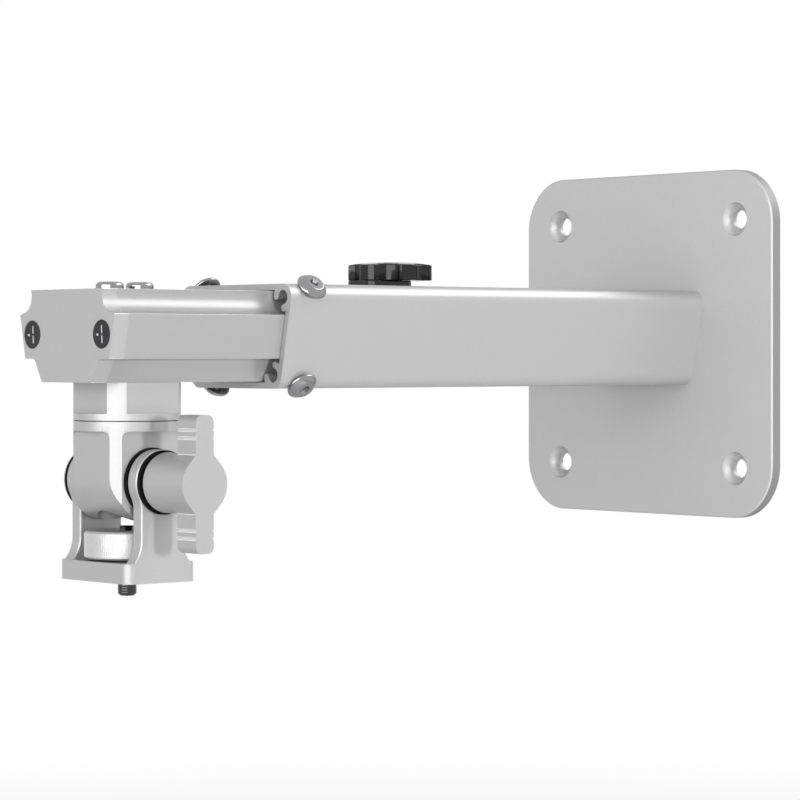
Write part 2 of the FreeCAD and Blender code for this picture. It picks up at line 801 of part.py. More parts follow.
nodes = {
    "wall_plate": make_wall_plate,
    "outer_tube": make_outer_tube,
    "tube_fixing_screws": make_tube_fixing_screws,
    "guide_screws": make_guide_screws,
    "lock_plate": make_lock_plate,
    "lock_bush": make_lock_bush,
    "lock_grip": make_lock_grip,
    "lock_stud": make_lock_stud,
    "lock_tip": make_lock_tip,
    "sliding_arm": make_sliding_arm,
    "end_cap": make_end_cap,
    "end_cap_screws": make_end_cap_screws,
    "swivel_block": make_swivel_block,
    "block_screws": make_block_screws,
    "pan_washer": make_pan_washer,
    "pan_spring": make_pan_spring,
    "pan_bolt": make_pan_bolt,
    "knuckle": make_knuckle,
    "yoke": make_yoke,
    "inner_washers": make_inner_washers,
    "outer_washers": make_outer_washers,
    "tilt_bolt": make_tilt_bolt,
    "wing_knob": make_wing_knob,
    "thumb_wheel": make_thumb_wheel,
    "projector_screw": make_projector_screw,
}

os.makedirs("parts", exist_ok=True)
for name, make in nodes.items():
    make().exportStep("parts/" + name + ".step")
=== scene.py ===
import json
import math

import bmesh
import bpy
from mathutils import Matrix, Vector

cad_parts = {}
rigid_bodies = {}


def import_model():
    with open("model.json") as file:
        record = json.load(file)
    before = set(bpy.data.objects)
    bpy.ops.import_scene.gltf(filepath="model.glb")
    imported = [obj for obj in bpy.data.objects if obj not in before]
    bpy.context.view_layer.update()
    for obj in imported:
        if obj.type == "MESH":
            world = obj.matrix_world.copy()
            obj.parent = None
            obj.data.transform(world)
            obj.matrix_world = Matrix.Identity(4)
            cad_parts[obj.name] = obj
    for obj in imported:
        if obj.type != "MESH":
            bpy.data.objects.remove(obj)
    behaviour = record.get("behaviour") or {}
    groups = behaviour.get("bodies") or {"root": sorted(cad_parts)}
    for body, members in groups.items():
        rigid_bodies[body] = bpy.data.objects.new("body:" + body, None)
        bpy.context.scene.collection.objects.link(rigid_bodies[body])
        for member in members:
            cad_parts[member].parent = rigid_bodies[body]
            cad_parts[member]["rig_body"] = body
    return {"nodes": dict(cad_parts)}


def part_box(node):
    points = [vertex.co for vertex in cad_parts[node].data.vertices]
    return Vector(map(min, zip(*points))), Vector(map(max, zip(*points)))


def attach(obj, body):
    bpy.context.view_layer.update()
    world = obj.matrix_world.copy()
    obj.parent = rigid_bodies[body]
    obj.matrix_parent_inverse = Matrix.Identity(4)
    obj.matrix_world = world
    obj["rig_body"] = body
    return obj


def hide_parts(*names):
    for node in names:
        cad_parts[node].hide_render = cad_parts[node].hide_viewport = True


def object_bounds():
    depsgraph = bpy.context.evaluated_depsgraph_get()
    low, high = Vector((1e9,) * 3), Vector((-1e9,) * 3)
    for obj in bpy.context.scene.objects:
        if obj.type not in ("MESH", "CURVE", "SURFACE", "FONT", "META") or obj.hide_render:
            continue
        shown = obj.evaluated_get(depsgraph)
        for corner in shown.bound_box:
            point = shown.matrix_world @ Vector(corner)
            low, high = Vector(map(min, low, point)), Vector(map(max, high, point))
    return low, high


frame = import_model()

bl_info = {
    "name": "Projector Wall Mount",
    "version": (1, 0, 0),
    "blender": (4, 5, 0),
    "location": "View3D > Sidebar > Wall Mount",
    "description": "Dresses the mount: machined pieces, screws, knurl, thread, finishes and a studio",
    "category": "Object",
}

CAD_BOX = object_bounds()
MM = 0.001
PICTURE_SIDE = 800.0
SENSOR = 36.0
FULL_TURN = 2.0 * math.pi
X_AXIS, Y_AXIS = 0, 1

# The anodised skin hides a part of the metal's mirror
ANODISED_METAL = 0.4
GRAIN_HEIGHT = 0.03 * MM
POLISH_HEIGHT = 0.02 * MM
# Colour of the painted glint in the cross recesses of the dark screws
SLOT_GLINT_COLOUR = (0.85, 0.85, 0.86, 1.0)
ZINC = (0.50, 0.50, 0.48, 1.0)

# What the lamps look at: the middle of the arm's front half
LAMP_AIM = Vector((0.0, -0.18, 0.0))


# Places read from the frame

def node_box(node):
    low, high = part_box(node)
    return Vector(low), Vector(high)


def node_middle(node):
    low, high = node_box(node)
    return (low + high) / 2.0


def stand_for(piece, node):
    """The piece rides on the node's body and is shown in the node's place, which is hidden."""
    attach(piece, frame["nodes"][node]["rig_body"])
    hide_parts(node)
    return piece


# Sizes and colours that a user would change

def paint(name, description, default):
    return bpy.props.FloatVectorProperty(name=name, description=description, subtype="COLOR", size=4,
                                         default=default, min=0.0, max=1.0)


def length(name, description, default, low, high):
    return bpy.props.FloatProperty(name=name, description=description, unit="LENGTH", default=default,
                                   min=low, max=high)


class MountFinish(bpy.types.PropertyGroup):
    silver: paint("Silver", "Colour of the anodised aluminium", (0.44, 0.44, 0.44, 1.0))
    polished: paint("Polished steel", "Colour of the button-head screws", (0.30, 0.30, 0.31, 1.0))
    dark_steel: paint("Dark steel", "Colour of the countersunk screws", (0.045, 0.045, 0.048, 1.0))
    black: paint("Black", "Colour of the star knob, the washers and the camera screw",
                 (0.004, 0.004, 0.004, 1.0))
    grain_size: length("Blast grain", "Size of the blasted grain under the anodising", 0.0006, 0.0001, 0.005)


class MountDetail(bpy.types.PropertyGroup):
    edge_round: length("Edge round", "Rounding of the machined edges", 0.00018, 0.0, 0.001)
    knurl_columns: bpy.props.IntProperty(
        name="Knurl columns", description="Studs of the knurl round the thumb wheel",
        default=120, min=12, max=240)
    knurl_rows: bpy.props.IntProperty(
        name="Knurl rows", description="Rows of knurl studs up the thumb wheel", default=11, min=2, max=20)
    knurl_depth: length("Knurl depth", "Height of the knurl's studs", 0.00022, 0.00005, 0.001)
    thread_pitch: length("Thread pitch", "Pitch of the camera screw's thread", 0.0008, 0.0004, 0.003)
    thread_depth: length("Thread depth", "Depth of the camera screw's thread", 0.00003, 0.0, 0.001)
    crown_round: length("Star knob rim", "Rounding of the star knob's upper rim", 0.0004, 0.0001, 0.002)


class MountStudio(bpy.types.PropertyGroup):
    view_turn: bpy.props.FloatProperty(
        name="View turn", description="Angle of the view round the object from square on the wall",
        subtype="ANGLE", default=math.radians(50.649))
    lens: bpy.props.FloatProperty(
        name="Lens", description="Focal length for a 36 mm sensor", subtype="DISTANCE_CAMERA",
        default=139.485, min=10.0, max=500.0)
    eye: bpy.props.FloatVectorProperty(
        name="Eye", description="Place of the camera", subtype="XYZ_LENGTH", size=3,
        default=(0.83710, -0.86277, -0.002945))
    centre_x: bpy.props.FloatProperty(
        name="Centre across", default=300.0,
        description="Where the straight view meets the picture, in pixels from the left")
    centre_y: bpy.props.FloatProperty(
        name="Centre down", default=351.66,
        description="Where the straight view meets the picture, in pixels from the top")
    floor_drop: length("Floor drop", "Height of the floor below the object", 0.45, 0.05, 3.0)
    room_light: bpy.props.FloatProperty(
        name="Room light", description="Strength of the plain light from all round",
        default=0.14, min=0.0, max=2.0)


# Node helpers, for shaders and for geometry

FLOAT, WHOLE, VECTOR = "NodeSocketFloat", "NodeSocketInt", "NodeSocketVector"
COLOUR, FINISH, SHAPE = "NodeSocketColor", "NodeSocketMaterial", "NodeSocketGeometry"


def new_node(tree, kind, feeds=None, **settings):
    """A node with its settings; each feed is a socket to link or a value to set."""
    made = tree.nodes.new(kind)
    for key, value in settings.items():
        setattr(made, key, value)
    for key, value in (feeds or {}).items():
        if isinstance(value, bpy.types.NodeSocket):
            tree.links.new(value, made.inputs[key])
        else:
            made.inputs[key].default_value = value
    return made


def new_group(name, kind, inputs, outputs):
    """A node group with its sockets, and the outputs of its input node and its output node."""
    tree = bpy.data.node_groups.new(name, kind)
    for label, socket_type, default in inputs:
        socket = tree.interface.new_socket(name=label, in_out="INPUT", socket_type=socket_type)
        if default is not None:
            socket.default_value = default
    for label, socket_type in outputs:
        tree.interface.new_socket(name=label, in_out="OUTPUT", socket_type=socket_type)
    return tree, tree.nodes.new("NodeGroupInput").outputs, tree.nodes.new("NodeGroupOutput")


def calc(tree, operation, first, second=0.0):
    return new_node(tree, "ShaderNodeMath", {0: first, 1: second}, operation=operation).outputs[0]


def noise(tree, vector, scale, detail):
    feeds = {"Vector": vector, "Scale": scale, "Detail": detail}
    return new_node(tree, "ShaderNodeTexNoise", feeds).outputs["Fac"]


# Shader effects that several finishes use

def blasted_grain_group():
    """Fine blasted grain: a height, a roughness and a faint mottling of the colour."""
    tree, given, leave = new_group(
        "Blasted Grain", "ShaderNodeTree",
        [("Vector", VECTOR, None), ("Grain per metre", FLOAT, 1600.0),
         ("Roughness", FLOAT, 0.4), ("Variation", FLOAT, 0.08),
         ("Colour", COLOUR, (0.5, 0.5, 0.5, 1.0)), ("Mottling", FLOAT, 0.05)],
        [("Height", FLOAT), ("Roughness", FLOAT), ("Colour", COLOUR)])
    fine = noise(tree, given["Vector"], given["Grain per metre"], 3.0)
    coarse = noise(tree, given["Vector"], calc(tree, "MULTIPLY", given["Grain per metre"], 0.28), 2.0)
    swing = calc(tree, "MULTIPLY", calc(tree, "SUBTRACT", coarse, 0.5), given["Variation"])
    shade = calc(tree, "MULTIPLY", calc(tree, "SUBTRACT", fine, 0.5), given["Mottling"])
    tint = new_node(tree, "ShaderNodeVectorMath",
                    {0: given["Colour"], "Scale": calc(tree, "ADD", shade, 1.0)}, operation="SCALE")
    tree.links.new(fine, leave.inputs["Height"])
    tree.links.new(calc(tree, "ADD", given["Roughness"], swing), leave.inputs["Roughness"])
    tree.links.new(tint.outputs[0], leave.inputs["Colour"])


def drawn_lines_group():
    """Faint die lines that run along the arm."""
    tree, given, leave = new_group(
        "Drawn Lines", "ShaderNodeTree",
        [("Vector", VECTOR, None), ("Lines per metre", FLOAT, 1500.0),
         ("Stretch", FLOAT, 0.012)],
        [("Height", FLOAT)])
    squeeze = new_node(tree, "ShaderNodeCombineXYZ", {"X": 1.0, "Y": given["Stretch"], "Z": 1.0})
    scaled = new_node(tree, "ShaderNodeVectorMath", {0: given["Vector"], 1: squeeze.outputs[0]},
                      operation="MULTIPLY")
    tree.links.new(noise(tree, scaled.outputs[0], given["Lines per metre"], 2.0), leave.inputs["Height"])


def handled_wear_group():
    """Slow smudges that change how sharply a polished surface mirrors."""
    tree, given, leave = new_group(
        "Handled Wear", "ShaderNodeTree",
        [("Vector", VECTOR, None), ("Roughness", FLOAT, 0.15),
         ("Amount", FLOAT, 0.1)],
        [("Roughness", FLOAT)])
    slow = noise(tree, given["Vector"], 90.0, 4.0)
    wear = calc(tree, "MULTIPLY", calc(tree, "SUBTRACT", slow, 0.45), given["Amount"])
    total = calc(tree, "MAXIMUM", calc(tree, "ADD", given["Roughness"], wear), 0.03)
    tree.links.new(total, leave.inputs["Roughness"])


# Finishes

def new_material(name, colour, metallic):
    material = bpy.data.materials.new(name)
    material.use_nodes = True
    tree = material.node_tree
    tree.nodes.clear()
    shader = new_node(tree, "ShaderNodeBsdfPrincipled", {"Base Color": colour, "Metallic": metallic})
    new_node(tree, "ShaderNodeOutputMaterial", {"Surface": shader.outputs[0]})
    place = tree.nodes.new("ShaderNodeTexCoord").outputs["Object"]
    return material, tree, shader, place


def effect(tree, name, vector, **values):
    """A shared effect placed in a material with its own values."""
    feeds = {key.replace("_", " "): value for key, value in values.items()}
    feeds["Vector"] = vector
    return new_node(tree, "ShaderNodeGroup", feeds, node_tree=bpy.data.node_groups[name]).outputs


def bumped(tree, height, strength, distance, normal=None):
    feeds = {"Height": height, "Strength": strength, "Distance": distance}
    if normal is not None:
        feeds["Normal"] = normal
    return new_node(tree, "ShaderNodeBump", feeds).outputs["Normal"]


def anodised(name, shade, roughness, lines=0.0, grain=0.35):
    """Satin anodised aluminium with blasted grain and, on drawn profiles, die lines."""
    finish = bpy.context.scene.mount_finish
    colour = tuple(channel * shade for channel in finish.silver[:3]) + (1.0,)
    material, tree, shader, place = new_material(name, colour, ANODISED_METAL)
    skin = effect(tree, "Blasted Grain", place, Grain_per_metre=1.0 / finish.grain_size, Roughness=roughness,
                  Variation=0.07, Colour=colour, Mottling=0.12)
    tree.links.new(skin["Colour"], shader.inputs["Base Color"])
    tree.links.new(skin["Roughness"], shader.inputs["Roughness"])
    normal = bumped(tree, skin["Height"], grain, GRAIN_HEIGHT)
    if lines > 0.0:
        drawn = effect(tree, "Drawn Lines", place)
        normal = bumped(tree, drawn["Height"], lines, GRAIN_HEIGHT, normal)
    tree.links.new(normal, shader.inputs["Normal"])
    return material


def polished(name, colour, roughness, amount):
    """Bright or dark turned steel with faint handling marks."""
    material, tree, shader, place = new_material(name, colour, 1.0)
    wear = effect(tree, "Handled Wear", place, Roughness=roughness, Amount=amount)
    tree.links.new(wear["Roughness"], shader.inputs["Roughness"])
    skin = effect(tree, "Blasted Grain", place, Grain_per_metre=2500.0)
    tree.links.new(bumped(tree, skin["Height"], 0.06, POLISH_HEIGHT), shader.inputs["Normal"])
    return material


def blackened(name, colour, glint_colour, roughness, amount):
    """Blackened steel with a painted highlight: bright where the mesh's attribute marks the glint on a cross
    recess.
    """
    material, tree, shader, place = new_material(name, colour, 1.0)
    slot_glint = new_node(tree, "ShaderNodeAttribute", attribute_name="slot_glint").outputs["Fac"]
    mixed = new_node(tree, "ShaderNodeMix", {0: slot_glint, 6: colour, 7: glint_colour}, data_type="RGBA")
    tree.links.new(mixed.outputs[2], shader.inputs["Base Color"])
    wear = effect(tree, "Handled Wear", place, Roughness=roughness, Amount=amount)
    tree.links.new(wear["Roughness"], shader.inputs["Roughness"])
    return material


def black_plastic(name, colour, roughness, amount, grain, index):
    """Black moulded or lacquered surface; the index sets how much it mirrors."""
    material, tree, shader, place = new_material(name, colour, 0.0)
    shader.inputs["IOR"].default_value = index
    wear = effect(tree, "Handled Wear", place, Roughness=roughness, Amount=amount)
    tree.links.new(wear["Roughness"], shader.inputs["Roughness"])
    skin = effect(tree, "Blasted Grain", place, Grain_per_metre=2200.0)
    tree.links.new(bumped(tree, skin["Height"], grain, POLISH_HEIGHT), shader.inputs["Normal"])
    return material


def material(name):
    """A finish by name, made on its first use."""
    found = bpy.data.materials.get(name)
    if found is not None:
        return found
    finish = bpy.context.scene.mount_finish
    black = tuple(finish.black)
    steel = tuple(finish.polished)
    dark = tuple(finish.dark_steel)
    makers = {
        "Anodised Plate": lambda: anodised(name, 1.12, 0.46, grain=0.5),
        # Painted shade for the plate's outer rim: a darker copy of the silver
        "Plate Edge Painted Shade": lambda: anodised(name, 0.55, 0.50, grain=0.5),
        "Anodised Tube": lambda: anodised(name, 0.96, 0.34, lines=0.12),
        "Anodised Arm": lambda: anodised(name, 0.86, 0.33, lines=0.16),
        "Anodised Cap": lambda: anodised(name, 0.98, 0.44, grain=0.5),
        "Anodised Head": lambda: anodised(name, 0.96, 0.36),
        "Anodised Knob": lambda: anodised(name, 0.92, 0.42, grain=0.4),
        # Painted shade for the knurl's grooves: a dark copy of the silver
        "Knurl Groove Painted Shade": lambda: anodised(name, 0.22, 0.50, grain=0.2),
        # The knurl's aluminium with a painted highlight: a brighter copy of the silver
        "Knurl Studs Painted Highlight": lambda: anodised(name, 1.30, 0.34, grain=0.2),
        # Painted highlight for rounded edges: a much brighter copy of the silver
        "Painted Edge Highlight": lambda: anodised(name, 1.75, 0.34, grain=0.1),
        "Polished Screw": lambda: polished(name, steel, 0.10, 0.08),
        # Dark steel with a painted glint in its cross recesses
        "Dark Screw": lambda: blackened(name, dark, SLOT_GLINT_COLOUR, 0.22, 0.10),
        "Zinc Steel": lambda: polished(name, ZINC, 0.32, 0.18),
        "Black Gloss": lambda: black_plastic(name, black, 0.07, 0.06, 0.05, 1.42),
        "Black Nylon": lambda: black_plastic(name, black, 0.45, 0.2, 0.3, 1.15),
        "Black Steel": lambda: black_plastic(name, black, 0.10, 0.1, 0.02, 1.6),
    }
    return makers[name]()


# Mesh making

def finished_object(name, data):
    obj = bpy.data.objects.new(name, data)
    bpy.context.scene.collection.objects.link(obj)
    return obj


def shade_by_angle(mesh, angle):
    mesh.polygons.foreach_set("use_smooth", [True] * len(mesh.polygons))
    mesh.set_sharp_from_angle(angle=math.radians(angle))


def mesh_of(name, build, smooth_angle=35.0):
    """Mesh of a finished bmesh: doubles merged, faces outward, smooth up to an angle."""
    bmesh.ops.remove_doubles(build, verts=build.verts, dist=1e-7)
    bmesh.ops.recalc_face_normals(build, faces=build.faces)
    mesh = bpy.data.meshes.new(name)
    build.to_mesh(mesh)
    build.free()
    shade_by_angle(mesh, smooth_angle)
    return mesh


def soften(obj, width, highlight_finish=None, along=None):
    """Rounded edges with normals that keep the flats flat.

    A highlight finish gives them a brighter material, a painted highlight on the rounded edges. With an axis
    only the sharp edges along it are rounded.
    """
    bevel = obj.modifiers.new("Edge round", "BEVEL")
    bevel.width = width
    bevel.segments = 2
    bevel.limit_method = "ANGLE" if along is None else "WEIGHT"
    bevel.angle_limit = math.radians(30.0)
    if along is not None:
        mesh = obj.data
        weights = mesh.attributes.new("bevel_weight_edge", "FLOAT", "EDGE")
        for edge, weight in zip(mesh.edges, weights.data):
            first, second = (mesh.vertices[index].co for index in edge.vertices)
            way = second - first
            weight.value = 1.0 if edge.use_edge_sharp and abs(way[along]) > 0.9 * way.length else 0.0
    bevel.harden_normals = True
    bevel.use_clamp_overlap = True
    if highlight_finish:
        obj.data.materials.append(material(highlight_finish))
        bevel.material = len(obj.data.materials) - 1
    weighted = obj.modifiers.new("Flat normals", "WEIGHTED_NORMAL")
    weighted.keep_sharp = True
    return obj


def refined(node, name, finish, edge=None, highlight_finish=None, along=None):
    """A merged copy of a CAD node that stands for the node, with rounded edges where a width is given."""
    build = bmesh.new()
    build.from_mesh(frame["nodes"][node].data)
    bmesh.ops.remove_doubles(build, verts=build.verts, dist=2e-6)
    bmesh.ops.dissolve_degenerate(build, edges=build.edges, dist=1e-6)
    bmesh.ops.dissolve_limit(build, angle_limit=math.radians(0.6), verts=build.verts, edges=build.edges)
    mesh = bpy.data.meshes.new(name)
    build.to_mesh(mesh)
    build.free()
    shade_by_angle(mesh, 32.0)
    mesh.materials.append(material(finish))
    obj = finished_object(name, mesh)
    if edge:
        soften(obj, edge, highlight_finish, along)
    return stand_for(obj, node)


def coat(node, finish):
    """A CAD node keeps its mesh and gets a finish."""
    for held in frame["nodes"][node].material_slots:
        held.material = material(finish)


def ring(build, points):
    return [build.verts.new(point) for point in points]


def bridge(build, first, second):
    """Faces between two closed rings, or between a ring and a single point."""
    count = max(len(first), len(second))
    for index in range(count):
        after = (index + 1) % count
        if len(second) == 1:
            build.faces.new((first[index], first[after], second[0]))
        elif len(first) == 1:
            build.faces.new((first[0], second[after], second[index]))
        else:
            build.faces.new((first[index], first[after], second[after], second[index]))


def stacked(build, outlines):
    """A closed skin through a stack of rings."""
    rings = [ring(build, points) for points in outlines]
    for below, above in zip(rings, rings[1:]):
        bridge(build, below, above)
    return rings


def even_angles(count):
    return [FULL_TURN * step / count for step in range(count)]


def turned(profile, angles, axis="Z"):
    """Rings of a turned profile of (radius, height) pairs about an axis through the origin."""
    outlines = []
    for radius, height in profile:
        if radius == 0.0:
            flat = [(0.0, 0.0)]
        else:
            flat = [(radius * math.cos(angle), radius * math.sin(angle)) for angle in angles]
        if axis == "X":
            outlines.append([(height, u, v) for u, v in flat])
        else:
            outlines.append([(u, v, height) for u, v in flat])
    return outlines


# Geometry Nodes trees

GEOMETRY_OUT = [("Geometry", SHAPE)]


def knurl_tree():
    """Rows of studs round an upright drum, joined to the drum's own shape, with painted shade in the grooves
    between.
    """
    tree, given, leave = new_group(
        "Knurled Drum", "GeometryNodeTree",
        [("Geometry", SHAPE, None), ("Radius", FLOAT, 0.01),
         ("Height", FLOAT, 0.008), ("Columns", WHOLE, 120), ("Rows", WHOLE, 11),
         ("Stud Width", FLOAT, 0.0007), ("Stud Depth", FLOAT, 0.0002),
         ("Centre", VECTOR, None), ("Finish", FINISH, None),
         ("Groove Finish", FINISH, None), ("Drum Finish", FINISH, None)],
        GEOMETRY_OUT)
    upright = (1.0, 1.0, 0.0)
    place = new_node(tree, "GeometryNodeInputPosition").outputs[0]

    # Studs on the points of an open cylinder, narrower up the drum than round it
    grid = new_node(tree, "GeometryNodeMeshCylinder",
                    {"Vertices": given["Columns"],
                     "Side Segments": calc(tree, "SUBTRACT", given["Rows"], 1.0),
                     "Radius": given["Radius"], "Depth": given["Height"]}, fill_type="NONE")
    stud = new_node(tree, "GeometryNodeMeshCone",
                    {"Vertices": 4, "Radius Bottom": calc(tree, "MULTIPLY", given["Stud Width"], 0.66),
                     "Radius Top": calc(tree, "MULTIPLY", given["Stud Width"], 0.52),
                     "Depth": given["Stud Depth"]}, fill_type="NGON")
    squared = new_node(tree, "GeometryNodeTransform",
                       {"Geometry": stud.outputs["Mesh"], "Rotation": (0.0, 0.0, math.radians(45.0))})
    laid = new_node(tree, "GeometryNodeTransform",
                    {"Geometry": squared.outputs[0], "Rotation": (0.0, math.radians(90.0), 0.0),
                     "Scale": (0.68, 1.0, 1.0)})
    outward = new_node(tree, "ShaderNodeVectorMath", {0: place, 1: upright}, operation="MULTIPLY")
    facing = new_node(tree, "FunctionNodeAlignRotationToVector", {"Vector": outward.outputs[0]},
                      axis="X", pivot_axis="Z")
    studs = new_node(tree, "GeometryNodeInstanceOnPoints",
                     {"Points": grid.outputs["Mesh"], "Instance": laid.outputs[0],
                      "Rotation": facing.outputs[0]})
    flat = new_node(tree, "GeometryNodeSetShadeSmooth",
                    {"Geometry": studs.outputs[0], "Shade Smooth": False})
    moved = new_node(tree, "GeometryNodeTransform",
                     {"Geometry": flat.outputs[0], "Translation": given["Centre"]})
    joined = new_node(tree, "GeometryNodeJoinGeometry", {0: moved.outputs[0]})
    tree.links.new(given["Geometry"], joined.inputs[0])

    # Faces within the studs' radius are the drum's: its wall shows in the grooves with painted shade, its
    # ends are plain
    from_centre = new_node(tree, "ShaderNodeVectorMath", {0: place, 1: given["Centre"]},
                           operation="SUBTRACT")
    across = new_node(tree, "ShaderNodeVectorMath", {0: from_centre.outputs[0], 1: upright},
                      operation="MULTIPLY")
    reach = new_node(tree, "ShaderNodeVectorMath", {0: across.outputs[0]},
                     operation="LENGTH").outputs["Value"]
    drum = new_node(tree, "FunctionNodeCompare", {0: reach, 1: given["Radius"]}, data_type="FLOAT",
                    operation="LESS_THAN").outputs[0]
    normal = new_node(tree, "GeometryNodeInputNormal").outputs[0]
    lift = calc(tree, "ABSOLUTE", new_node(tree, "ShaderNodeSeparateXYZ", {0: normal}).outputs["Z"])
    level = new_node(tree, "FunctionNodeCompare", {0: lift, 1: 0.3}, data_type="FLOAT",
                     operation="GREATER_THAN").outputs[0]
    ends = new_node(tree, "FunctionNodeBooleanMath", {0: drum, 1: level}, operation="AND").outputs[0]

    shape = new_node(tree, "GeometryNodeRealizeInstances", {"Geometry": joined.outputs[0]}).outputs[0]
    for chosen, finish in ((None, "Finish"), (drum, "Groove Finish"), (ends, "Drum Finish")):
        feeds = {"Geometry": shape, "Material": given[finish]}
        if chosen is not None:
            feeds["Selection"] = chosen
        shape = new_node(tree, "GeometryNodeSetMaterial", feeds).outputs[0]
    tree.links.new(shape, leave.inputs["Geometry"])
    return tree


def screw_tree():
    """A headed screw on each point, its head towards the point's heading, turned by the point's twist."""
    tree, given, leave = new_group(
        "Screw Set", "GeometryNodeTree",
        [("Geometry", SHAPE, None), ("Head", "NodeSocketObject", None),
         ("Head Diameter", FLOAT, 0.01), ("Head Height", FLOAT, 0.003),
         ("Shank Diameter", FLOAT, 0.005), ("Shank Length", FLOAT, 0.008),
         ("Shank Start", FLOAT, 0.0),
         ("Finish", FINISH, None)], GEOMETRY_OUT)
    shape = new_node(tree, "GeometryNodeObjectInfo", {"Object": given["Head"]}).outputs["Geometry"]
    size = new_node(tree, "ShaderNodeCombineXYZ",
                    {"X": given["Head Diameter"], "Y": given["Head Diameter"], "Z": given["Head Height"]})
    head = new_node(tree, "GeometryNodeTransform", {"Geometry": shape, "Scale": size.outputs[0]})
    shank = new_node(tree, "GeometryNodeMeshCylinder",
                     {"Vertices": 24, "Radius": calc(tree, "MULTIPLY", given["Shank Diameter"], 0.5),
                      "Depth": given["Shank Length"]})
    half_back = calc(tree, "MULTIPLY", given["Shank Length"], -0.5)
    depth = calc(tree, "SUBTRACT", half_back, given["Shank Start"])
    sunk = new_node(tree, "ShaderNodeCombineXYZ", {"Z": depth})
    below = new_node(tree, "GeometryNodeTransform",
                     {"Geometry": shank.outputs["Mesh"], "Translation": sunk.outputs[0]})
    screw = new_node(tree, "GeometryNodeJoinGeometry", {0: head.outputs[0]})
    tree.links.new(below.outputs[0], screw.inputs[0])
    heading = new_node(tree, "GeometryNodeInputNamedAttribute", {"Name": "heading"},
                       data_type="FLOAT_VECTOR")
    twist = new_node(tree, "GeometryNodeInputNamedAttribute", {"Name": "twist"}, data_type="FLOAT")
    facing = new_node(tree, "FunctionNodeAlignRotationToVector", {"Vector": heading.outputs[0]}, axis="Z")
    spun = new_node(tree, "FunctionNodeAxisAngleToRotation",
                    {"Axis": (0.0, 0.0, 1.0), "Angle": twist.outputs[0]})
    turn = new_node(tree, "FunctionNodeRotateRotation",
                    {"Rotation": facing.outputs[0], "Rotate By": spun.outputs[0]}, rotation_space="LOCAL")
    screws = new_node(tree, "GeometryNodeInstanceOnPoints",
                      {"Points": given["Geometry"], "Instance": screw.outputs[0],
                       "Rotation": turn.outputs[0]})
    whole = new_node(tree, "GeometryNodeRealizeInstances", {"Geometry": screws.outputs[0]})
    painted = new_node(tree, "GeometryNodeSetMaterial",
                       {"Geometry": whole.outputs[0], "Material": given["Finish"]})
    tree.links.new(painted.outputs[0], leave.inputs["Geometry"])
    return tree


def grown(name, tree, start, **settings):
    """The plain mesh that a tree makes from a start mesh, as a new object."""
    carrier = finished_object(name + "_start", start)
    modifier = carrier.modifiers.new("Shape", "NODES")
    modifier.node_group = tree
    sockets = {item.name: item.identifier for item in tree.interface.items_tree
               if item.item_type == "SOCKET" and item.in_out == "INPUT"}
    for label, value in settings.items():
        modifier[sockets[label.replace("_", " ")]] = value
    graph = bpy.context.evaluated_depsgraph_get()
    mesh = bpy.data.meshes.new_from_object(carrier.evaluated_get(graph), depsgraph=graph)
    if not mesh.polygons:
        raise RuntimeError(name + " came out empty")
    mesh.name = name
    carrier.modifiers.remove(modifier)
    bpy.data.objects.remove(carrier)
    return finished_object(name, mesh)


# Heads of screws, one unit across and one unit high, with the seat at the origin

def hexagon_reach(half_flats):
    def reach(angle):
        local = (angle + math.pi / 6.0) % (math.pi / 3.0) - math.pi / 6.0
        return half_flats / math.cos(local)
    return reach


def cross_reach(half_length, half_width):
    def reach(angle):
        local = abs((angle + math.pi / 4.0) % (math.pi / 2.0) - math.pi / 4.0)
        if local <= math.atan2(half_width, half_length):
            return half_length / math.cos(local)
        return half_width / math.sin(local)
    return reach


def cross_angles(half_length, half_width):
    """Angles round a head with one at each corner of the cross."""
    corner = math.atan2(half_width, half_length)
    eighth = [0.0, corner * 0.5, corner]
    eighth += [corner + (math.pi / 4.0 - corner) * step / 5.0 for step in range(1, 6)]
    quarter = eighth + [math.pi / 2.0 - angle for angle in reversed(eighth[1:-1])]
    return [angle + side * math.pi / 2.0 for side in range(4) for angle in quarter]


def head_shape(name, profile, reach, floor_reach, angles, depth):
    """A head with a recess; the profile runs from the seat up to the top.

    The attribute marks a painted highlight on a cross recess: its upright slot and the tip of the level one.
    """
    build = bmesh.new()
    outlines = turned([(0.0, profile[0][1])] + profile, angles)
    top = profile[-1][1]
    mouth = [(reach(a) * math.cos(a), reach(a) * math.sin(a)) for a in angles]
    outlines.append([(x, y, top) for x, y in mouth])
    for share in (1.0, 0.75, 0.2):
        floor = [(share * floor_reach(a) * math.cos(a), share * floor_reach(a) * math.sin(a))
                 for a in angles]
        outlines.append([(x, y, top - depth) for x, y in floor])
    outlines.append([(0.0, 0.0, top - depth)])
    stacked(build, outlines)
    mesh = mesh_of(name, build, 28.0)
    mesh.attributes.new("slot_glint", "FLOAT", "FACE")
    # Painted highlight: the upright slot's floor and the level slot's left tip are marked to show a glint
    for face, mark in zip(mesh.polygons, mesh.attributes["slot_glint"].data):
        x, y, z = face.center
        away = math.hypot(x, y)
        upright_slot = abs(y) > abs(x) and away > 0.05
        level_tip = x < -0.24 and abs(y) < 0.05
        floor_face = z < top - depth * 0.95 and away < 0.33
        mark.value = 1.0 if floor_face and (upright_slot or level_tip) else 0.0
    return finished_object(name, mesh)


def pan_head():
    """Upright sides with a rounded shoulder."""
    profile = [(0.475, 0.0), (0.5, 0.04), (0.5, 0.48), (0.495, 0.6), (0.482, 0.71), (0.462, 0.81),
               (0.435, 0.89), (0.4, 0.95), (0.355, 0.985), (0.3, 1.0)]
    return head_shape("Pan_head", profile, hexagon_reach(0.15), hexagon_reach(0.135), even_angles(48), 0.45)


